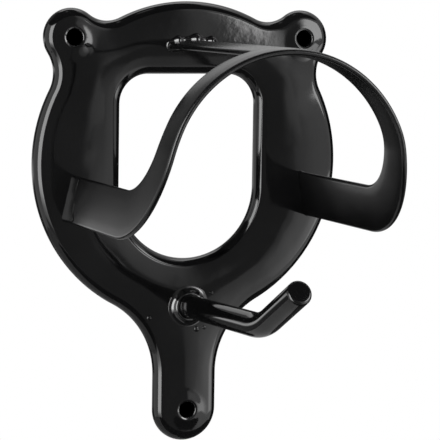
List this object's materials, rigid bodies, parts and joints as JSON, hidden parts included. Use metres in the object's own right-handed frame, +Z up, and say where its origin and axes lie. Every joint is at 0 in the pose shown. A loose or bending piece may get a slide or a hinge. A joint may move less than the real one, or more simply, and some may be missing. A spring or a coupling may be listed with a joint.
{
  "type": "bridle rack",
  "caption": "Wall-mounted bridle rack: an arched steel strap and an upturned rod hook welded to a pressed plate with eared screw holes and a central opening.",
  "frame": {"origin": "on the plate's front face, midway between the two upper screw holes, where the screw heads bear", "axes": "+Z up the wall, +X to the right as seen from the front, -Y out of the wall"},
  "size_m": [0.1228, 0.1149, 0.1698],
  "materials": {
    "black_coat": "smooth gloss black coat over steel"
  },
  "bodies": {
    "root": {"wall_plate": "black_coat", "bridle_arch": "black_coat", "rein_hook": "black_coat", "left_leg_weld": "black_coat", "right_leg_weld": "black_coat", "tongue_weld": "black_coat", "hook_weld": "black_coat"}
  },
  "joints": []
}
